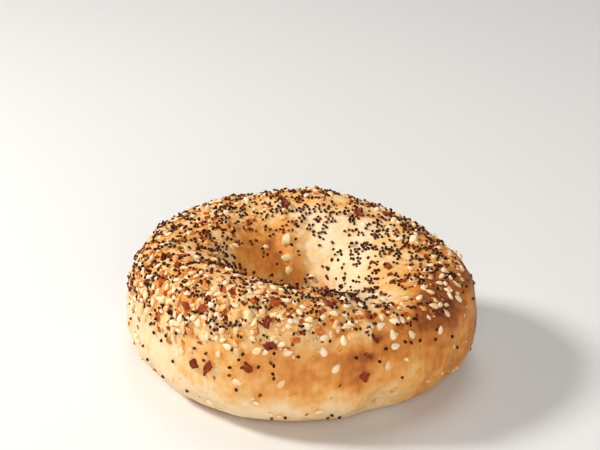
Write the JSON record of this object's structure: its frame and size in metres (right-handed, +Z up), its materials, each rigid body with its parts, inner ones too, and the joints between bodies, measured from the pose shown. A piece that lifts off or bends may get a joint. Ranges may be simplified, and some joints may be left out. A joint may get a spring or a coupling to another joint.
{
  "type": "bagel",
  "caption": "Ring-shaped baked bagel with a flat foot, a full domed crown and a round hole through it, with sesame seeds, onion flakes and garlic bits fused to its crown.",
  "frame": {"origin": "centre of the bounding box at the height of the flat foot that the ring rests on", "axes": "+Z up through the hole, +X to the right and +Y to the back as seen from the front; the ring is lowest at its right"},
  "size_m": [0.1101, 0.1014, 0.0429],
  "materials": {
    "crust": "baked, golden brown on the crown and shoulders, pale tan low down, faint sheen"
  },
  "bodies": {
    "root": {"bagel": "crust"}
  },
  "joints": []
}
